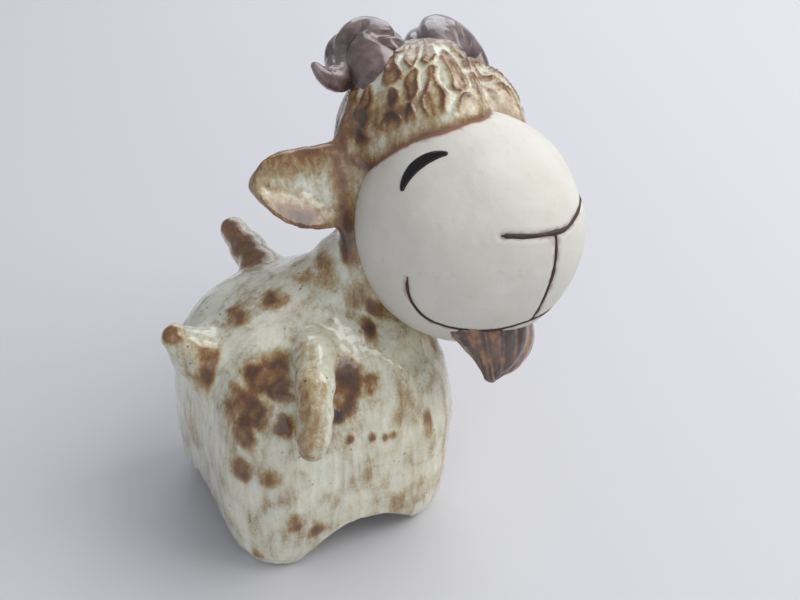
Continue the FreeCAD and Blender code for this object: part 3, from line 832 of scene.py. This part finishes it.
def cube_sphere(n):
    """Directions and quads of a ball, made from a cube with n by n squares on each side."""
    t = np.tan(np.linspace(-math.pi / 4, math.pi / 4, n + 1))
    u, v = np.meshgrid(t, t, indexing="ij")
    points, faces = [], []
    for axis in range(3):
        for sign in (-1, 1):
            side = np.zeros((n + 1, n + 1, 3))
            side[..., axis] = sign
            side[..., (axis + 1) % 3] = u
            side[..., (axis + 2) % 3] = v * sign
            k = (np.arange(n)[:, None] * (n + 1) + np.arange(n)).ravel() + len(points) * (n + 1) ** 2
            points.append(side.reshape(-1, 3))
            faces.append(np.stack([k, k + n + 1, k + n + 2, k + 1], 1))
    points = np.concatenate(points)
    # the sides share the points along the cube's edges
    key = np.round(points * 1e5).astype(np.int64)
    _, first, back = np.unique(key, axis=0, return_index=True, return_inverse=True)
    points = points[first]
    return points / np.linalg.norm(points, axis=1)[:, None], back.ravel()[np.concatenate(faces)]


def turned_out(vertices, faces):
    """The faces, flipped if the closed mesh is inside out."""
    corners = np.array([face[:3] for face in faces])
    a, b, c = np.moveaxis(vertices[corners] - vertices.mean(0), 1, 0)
    return faces if (a * np.cross(b, c)).sum() > 0 else [face[::-1] for face in faces]


def face_ball(material):
    """The unglazed ball with the lines cut into it, stained in the cuts, with painted shade drawn brown along
    the hair's edge.
    """
    d, faces = cube_sphere(124)
    r = face_radius(d)
    stain = np.zeros(len(d))
    for line, width, depth in GROOVES:
        gap = line_gap(d, line_points(line, 400))
        r = r - depth * np.exp(-((gap / width) ** 2)) + 0.06 * np.exp(-(((gap - 1.5) / 0.5) ** 2))
        stain = np.maximum(stain, 0.55 * np.exp(-((gap / 1.0) ** 2)))
    q = d * r[:, None]
    # painted shade: the crease where the hair meets the face is drawn brown
    stain = np.maximum(stain, np.exp(np.minimum(hairline(q) + 0.3, 0) / 0.5))
    skin = from_head(q)
    make("face_bisque", skin, turned_out(skin, faces.tolist()), "face_shell", "bisque", material, stain=stain)


# -------------------- coils, lines and eyes
def swept(points, out, wide, deep, sides, shape=None):
    """A closed coil with round ends: at each point an ellipse, deep along the out direction there."""
    points = np.asarray(points, float)
    count = len(points)
    tangent = np.gradient(points, axis=0)
    tangent /= np.linalg.norm(tangent, axis=1)[:, None]
    out = out - (out * tangent).sum(1)[:, None] * tangent
    out /= np.linalg.norm(out, axis=1)[:, None]
    across = np.cross(tangent, out)
    # each ring: its middle, half width, half depth, and the point whose directions it takes
    rings = [(points[i], wide[i], deep[i], i) for i in range(count)]
    for a in np.radians([72, 54, 36, 18]):
        for i, ahead in ((0, -1), (count - 1, 1)):
            middle = points[i] + ahead * tangent[i] * math.cos(a) * min(wide[i], deep[i])
            ring = (middle, wide[i] * math.sin(a), deep[i] * math.sin(a), i)
            rings.insert(len(rings) if i else 0, ring)
    angle = np.linspace(0, 2 * math.pi, sides, endpoint=False)
    vertices = []
    for middle, w, h, i in rings:
        k = 1 if shape is None else shape(angle, i / (count - 1))[:, None]
        ellipse = w * np.cos(angle)[:, None] * across[i] + h * np.sin(angle)[:, None] * out[i]
        vertices.append(middle + k * ellipse)
    tips = [rings[0][0] - tangent[0] * 0.04 * rings[0][1], rings[-1][0] + tangent[-1] * 0.04 * rings[-1][1]]
    vertices = np.concatenate(vertices + [tips])
    first = len(vertices) - 2
    end = first - sides
    k = (np.arange(len(rings) - 1)[:, None] * sides + np.arange(sides)).ravel()
    right = (np.arange(len(rings) - 1)[:, None] * sides + (np.arange(sides) + 1) % sides).ravel()
    faces = np.stack([k, k + sides, right + sides, right], 1).tolist()
    faces += [[first, i, (i + 1) % sides] for i in range(sides)]
    faces += [[first + 1, end + (i + 1) % sides, end + i] for i in range(sides)]
    return vertices, turned_out(vertices, faces)


def on_skin(points, sink):
    """Points moved to this depth below the face's skin, and the directions in which they lie."""
    d = points / np.linalg.norm(points, axis=1)[:, None]
    return d * (face_radius(d) - sink)[:, None], d


def drawn_line(name, points, radius, material, heavy=0.0):
    """An incised line: a thin dark thread lying in its groove, pressed harder at its start."""
    base, d = on_skin(line_points(points, 150), 0.24)
    s = np.linspace(0, 1, len(base))
    waver = 0.22 * noise(np.stack([s * 14, s * 0, s * 0], 1), 211)
    pen = radius * (0.82 + waver + heavy * np.exp(-((s / 0.2) ** 2)))
    pen *= np.clip(s / 0.03, 0.35, 1) * np.clip((1 - s) / 0.05, 0.25, 1)
    v, f = swept(base, d, pen, pen * 0.7, 12)
    make(name + "_ink", from_head(v), f, name, "oxide_line", material)


def eye(name, side, material):
    """A bead of black glaze along the crescent, left blunt at both ends."""
    line, thick = eye_points(side)
    base, d = on_skin(line[5:-5], 0.15)
    half = thick[5:-5] / 2 * 1.5 + 0.15
    v, f = swept(base, d, half, np.minimum(half * 0.75, 0.62), 20)
    make(name + "_bead", from_head(v), f, name, "black_glaze", material)


HORN = {  # along each horn from its root: distance to the side, y, z in the head's frame and radius
    -1: [
        (10, 9, 28, 7.6), (11.4, 12, 36.5, 7.6), (8.6, 13.8, 41.4, 6.8), (9.4, 17, 43.5, 6.2),
        (13.2, 18, 41.4, 5.8), (15.8, 17, 38.1, 4.7), (19, 15.2, 35.5, 3.5), (23, 13.8, 35, 2.5),
        (25.8, 13.2, 35.9, 1.7), (27.4, 13, 37.3, 1.0),
    ],
    1: [
        (6, 6, 26, 8.0), (5.8, 9, 33, 7.6), (6.5, 12, 40, 6.9), (9.5, 14.8, 43.6, 6.6), (13.5, 16, 44.4, 6.4),
        (18, 16.5, 42.8, 6.0), (21, 15.8, 39.8, 5.2), (22, 14.2, 36.2, 4.3), (22.6, 12.4, 33.6, 3.4),
        (24.4, 11.2, 32.6, 2.4), (26.5, 11.4, 33.6, 1.6), (27.6, 11.8, 34.8, 1.0),
    ],
}
HORN_CENTRE = (13.0, 13, 33)  # of the curl


def notch(angle, at, width):
    """1 along the middle of a groove in a coil, at this angle round it, fading out on both sides."""
    off = (angle - at + math.pi) % (2 * math.pi) - math.pi
    return np.exp(-((off / width) ** 2))


def horn(name, side, material):
    rows = curve(HORN[side], 220) * np.array([side, 1, 1, 1])
    out = rows[:, :3] - HORN_CENTRE * np.array([side, 1, 1])

    def fold(angle, s):
        point = np.stack([np.cos(angle) * 1.2, np.sin(angle) * 1.2, np.full_like(angle, s * 9)], 1)
        grooves = 0.17 * notch(angle, 1.1 + 1.6 * s, 0.26) + 0.07 * notch(angle, 3.9 + 1.2 * s, 0.35)
        return 1 + 0.045 * fractal(point * 1.6 + 40 * side, 2, 221) - grooves * min(1, 6 * (1 - s) + 0.2)

    v, f = swept(rows[:, :3], out, rows[:, 3], rows[:, 3] * 0.96, 72, fold)
    v = v + 0.10 * fractal(v * 0.5, 2, 225)[:, None] * (v - v.mean(0)) / 20
    make(name + "_glazed", from_head(v), f, name, "horn_glaze", material)


BEARD = [  # x, y, z in the head's frame and half width
    (-0.5, -4, -19, 11.2), (-1, -5, -24.5, 11.2), (-2.2, -5.6, -28.5, 8), (-3.8, -6, -31.5, 3.7),
    (-4.8, -6.2, -33.2, 1.6),
]


def beard(material):
    rows = curve(BEARD, 130)

    def lock(angle, s):
        comb = np.cos(angle * 15 + 2.0 * math.sin(4 * s)) * 0.5 + np.cos(angle * 9 + 1.3) * 0.5
        return 1 + 0.055 * comb * (0.4 + 0.6 * s)

    forward = np.tile([0, -1.0, 0.1], (len(rows), 1))
    v, f = swept(rows[:, :3], forward, rows[:, 3], rows[:, 3] * 0.52, 120, lock)
    angle = np.arctan2(v[:, 1] + 5, v[:, 0] + 2)
    streak = 0.5 + 0.5 * ridged(np.stack([angle * 7, v[:, 2] * 0.12, v[:, 0] * 0.05], 1), 231)
    make("beard_glazed", from_head(v), f, "beard", "beard_glaze", material, streak=streak)


# -------------------- materials
def rgb(r, g, b):
    """Linear colour from an sRGB one given in 0..255."""
    def linear(c):
        c = c / 255
        return c / 12.92 if c <= 0.04045 else ((c + 0.055) / 1.055) ** 2.4

    return linear(r), linear(g), linear(b), 1


class Shader:
    """A material's node tree; each method adds a node and gives the socket that comes out of it."""

    def __init__(self, name):
        self.material = bpy.data.materials.new(name)
        self.material.use_nodes = True
        self.tree = self.material.node_tree
        self.surface = self.tree.nodes["Principled BSDF"]
        self.coords = self.tree.nodes.new("ShaderNodeTexCoord").outputs["Object"]

    def feed(self, socket, value):
        """Sets a constant on the socket itself, or links another socket to it."""
        if isinstance(value, (int, float, tuple)):
            socket.default_value = value
        else:
            self.tree.links.new(value, socket)

    def add(self, kind, output, **inputs):
        node = self.tree.nodes.new(kind)
        for name, value in inputs.items():
            self.feed(node.inputs[name.replace("_", " ")], value)
        return node.outputs[output]

    def attribute(self, name):
        node = self.tree.nodes.new("ShaderNodeAttribute")
        node.attribute_name = name
        return node.outputs["Fac"]

    def noise(self, scale, detail, stretch=None, roughness=0.5):
        where = self.coords
        if stretch is not None:
            where = self.add("ShaderNodeMapping", "Vector", Vector=where, Scale=stretch)
        return self.add(
            "ShaderNodeTexNoise", "Fac", Vector=where, Scale=scale, Detail=detail, Roughness=roughness
        )

    def cells(self, scale):
        return self.add("ShaderNodeTexVoronoi", "Distance", Vector=self.coords, Scale=scale)

    def math(self, kind, a, b):
        node = self.tree.nodes.new("ShaderNodeMath")
        node.operation = kind
        self.feed(node.inputs[0], a)
        self.feed(node.inputs[1], b)
        return node.outputs[0]

    def spread(self, value, low, high, to_low=0.0, to_high=1.0):
        return self.add(
            "ShaderNodeMapRange", "Result",
            Value=value, From_Min=low, From_Max=high, To_Min=to_low, To_Max=to_high,
        )

    def ramp(self, value, stops):
        node = self.tree.nodes.new("ShaderNodeValToRGB")
        elements = node.color_ramp.elements
        elements[0].position, elements[0].color = stops[0]
        elements[1].position, elements[1].color = stops[-1]
        for position, colour in stops[1:-1]:
            elements.new(position).color = colour
        self.feed(node.inputs["Fac"], value)
        return node.outputs["Color"]

    def mix(self, factor, a, b):
        node = self.tree.nodes.new("ShaderNodeMix")
        node.data_type = "RGBA"
        # sockets 6 and 7 are the two colours, and output 2 the mixed one
        for number, value in ((0, factor), (6, a), (7, b)):
            self.feed(node.inputs[number], value)
        return node.outputs[2]

    def finish(self, colour, roughness, bumps=(), **constants):
        """The material itself; each bump is a height, a distance in metres and a strength."""
        self.feed(self.surface.inputs["Base Color"], colour)
        self.feed(self.surface.inputs["Roughness"], roughness)
        for name, value in constants.items():
            self.feed(self.surface.inputs[name.replace("_", " ")], value)
        chain = self.surface.inputs["Normal"]
        for height, distance, strength in reversed(bumps):
            node = self.tree.nodes.new("ShaderNodeBump")
            for name, value in (("Height", height), ("Distance", distance), ("Strength", strength)):
                self.feed(node.inputs[name], value)
            self.feed(chain, node.outputs["Normal"])
            chain = node.inputs["Normal"]
        return self.material


def fleece_glaze():
    """Pale glaze that breaks to rust, with painted light: warmer and paler on the body's lit side and cool
    elsewhere, with iron specks.
    """
    s = Shader("fleece_glaze_look")
    runs = s.noise(1, 4, (700, 700, 150), 0.6)
    grain = s.noise(1600, 3)
    rust = s.math("ADD", s.attribute("rust"), s.spread(runs, 0.3, 0.7, -0.10, 0.10))
    rust = s.math("ADD", rust, s.spread(grain, 0.3, 0.7, -0.05, 0.05))
    # painted light: the warm ramp gives the body's lit side, the cold ramp its shaded side and the cool
    # patches
    warm_tone_and_painted_light = s.ramp(rust, [
        (0.0, rgb(226, 223, 205)), (0.20, rgb(208, 201, 174)), (0.38, rgb(172, 147, 104)),
        (0.54, rgb(136, 95, 50)), (0.72, rgb(98, 61, 32)), (1.0, rgb(56, 35, 23)),
    ])
    cold_tone_and_painted_shade = s.ramp(rust, [
        (0.0, rgb(206, 214, 211)), (0.20, rgb(188, 193, 184)), (0.38, rgb(154, 139, 110)),
        (0.54, rgb(122, 89, 55)), (0.72, rgb(90, 60, 39)), (1.0, rgb(54, 37, 29)),
    ])
    colour = s.mix(s.attribute("cool"), warm_tone_and_painted_light, cold_tone_and_painted_shade)
    specks = s.math("MULTIPLY", s.spread(s.cells(420), 0.16, 0.08), s.spread(s.noise(260, 1), 0.52, 0.62))
    colour = s.mix(s.math("MULTIPLY", specks, 0.75), colour, rgb(60, 42, 32))
    return s.finish(
        colour, s.spread(rust, 0.2, 0.8, 0.16, 0.34), [(runs, 0.0002, 0.22), (grain, 0.0001, 0.25)],
        Coat_Weight=0.5, Coat_Roughness=0.08, Specular_IOR_Level=0.55,
    )


def bisque():
    """Bare white clay, stained brown in the lines, with painted shade drawn brown along the hair's edge."""
    s = Shader("bisque_look")
    grain = s.noise(2600, 3)
    stops = [(0.30, rgb(205, 201, 191)), (0.5, rgb(210, 207, 199)), (0.72, rgb(215, 213, 206))]
    clay = s.ramp(s.noise(95, 4), stops)
    clay = s.mix(s.spread(grain, 0.35, 0.75, 0.0, 0.06), clay, rgb(190, 176, 158))
    # the attribute holds the oxide in the cut lines and the painted shade along the hair's edge
    edge = s.math("ADD", s.attribute("stain"), s.spread(s.noise(420, 3), 0.3, 0.7, -0.22, 0.22))
    clay = s.mix(s.spread(edge, 0.18, 0.8, 0.0, 0.9), clay, rgb(122, 78, 54))
    bumps = [(grain, 0.00006, 0.35), (s.noise(700, 2), 0.0001, 0.25)]
    return s.finish(clay, 0.62, bumps, Specular_IOR_Level=0.35)


def horn_glaze():
    s = Shader("horn_glaze_look")
    stops = [(0.30, rgb(66, 50, 47)), (0.52, rgb(104, 86, 84)), (0.74, rgb(140, 122, 122))]
    colour = s.ramp(s.noise(240, 4), stops)
    return s.finish(colour, 0.24, [(s.noise(700, 3), 0.0002, 0.12)], Coat_Weight=0.7, Coat_Roughness=0.10)


def beard_glaze():
    s = Shader("beard_glaze_look")
    streak = s.math("ADD", s.attribute("streak"), s.spread(s.noise(600, 3), 0.3, 0.7, -0.25, 0.25))
    stops = [
        (0.1, rgb(64, 50, 48)), (0.55, rgb(88, 68, 63)), (0.85, rgb(112, 84, 68)), (1.0, rgb(142, 102, 74)),
    ]
    bumps = [(s.noise(900, 3), 0.0003, 0.4)]
    return s.finish(s.ramp(streak, stops), 0.24, bumps, Coat_Weight=0.6, Coat_Roughness=0.08)


def black_glaze():
    return Shader("black_glaze_look").finish(rgb(9, 7, 8), 0.22, Specular_IOR_Level=0.4)


def oxide_line():
    s = Shader("oxide_line_look")
    return s.finish(s.ramp(s.noise(500, 2), [(0.3, rgb(40, 27, 22)), (0.7, rgb(66, 46, 36))]), 0.6)


# -------------------- build
glazed_pieces(fleece_glaze())
face_ball(bisque())
ink = oxide_line()
drawn_line("nose_line", NOSE, 0.56, ink, 0.3)
drawn_line("philtrum_line", PHILTRUM, 0.5, ink)
drawn_line("mouth_line", MOUTH, 0.56, ink)
black = black_glaze()
dark = horn_glaze()
for word, side in (("right", -1), ("left", 1)):
    eye("eye_" + word, side, black)
    horn("horn_" + word, side, dark)
beard(beard_glaze())


# -------------------- stage, light and camera, in metres
AWAY = Vector((0.469, 0.883, 0))  # level, the way the camera looks
ACROSS = Vector((0.883, -0.469, 0))
FRONT, BACK, CURVE, SHEET_TOP, SHEET_HALF = -1.2, 0.55, 0.35, 1.5, 1.6


def stage_floor():
    """A pale sheet that curves up behind."""
    rows = [(FRONT, 0.0), (BACK, 0.0)]
    for a in np.radians(np.arange(6, 91, 6)):
        rows.append((BACK + CURVE * math.sin(a), CURVE * (1 - math.cos(a))))
    rows.append((BACK + CURVE, SHEET_TOP))
    vertices, faces = [], []
    for back, height in rows:
        for aside in (-SHEET_HALF, SHEET_HALF):
            vertices.append(tuple(AWAY * back + ACROSS * aside + Vector((0, 0, height - 0.0001))))
    for i in range(len(rows) - 1):
        faces.append((2 * i, 2 * i + 1, 2 * i + 3, 2 * i + 2))
    mesh = bpy.data.meshes.new("backdrop")
    mesh.from_pydata(vertices, [], faces)
    mesh.polygons.foreach_set("use_smooth", [True] * len(mesh.polygons))
    mesh.materials.append(Shader("paper").finish(rgb(203, 203, 207), 0.8))
    placed("backdrop", mesh)


def pointed(item, place, direction):
    item.location = place
    item.rotation_mode = "QUATERNION"
    item.rotation_quaternion = direction.to_track_quat("-Z", "Y")


def light(name, place, size, energy, colour):
    """A soft rectangular light that faces the figure's middle."""
    data = bpy.data.lights.new(name, "AREA")
    data.shape = "RECTANGLE"
    data.size, data.size_y = size
    data.energy = energy
    data.color = colour
    pointed(placed(name, data), place, Vector((0, 0, 0.05)) - Vector(place))


def room(colour, strength):
    world = bpy.data.worlds.new("room")
    world.use_nodes = True
    background = world.node_tree.nodes["Background"]
    background.inputs["Color"].default_value = colour
    background.inputs["Strength"].default_value = strength
    bpy.context.scene.world = world


def camera(target, back, distance):
    lens = bpy.data.cameras.new("camera")
    lens.lens = 54
    lens.sensor_width = 36
    lens.clip_start, lens.clip_end = 0.01, 20
    item = placed("camera", lens)
    pointed(item, target + back * distance, -back)
    bpy.context.scene.camera = item


stage_floor()
light("window", (0.50, -0.20, 0.66), (0.80, 0.70), 6.2, (1.0, 0.99, 0.97))
light("fill", (-0.40, -0.70, 0.34), (0.70, 0.70), 1.0, (1.0, 0.98, 0.95))
light("behind", (0.35, 0.55, 0.45), (0.60, 0.50), 1.6, (0.90, 0.94, 1.0))
room((0.84, 0.87, 0.93, 1), 0.52)
camera((Vector((22.5, -4.5, 50)) + Vector(MIDDLE)) * MM, Vector((-0.382, -0.719, 0.581)).normalized(), 0.280)
bpy.context.scene.view_settings.view_transform = "Standard"
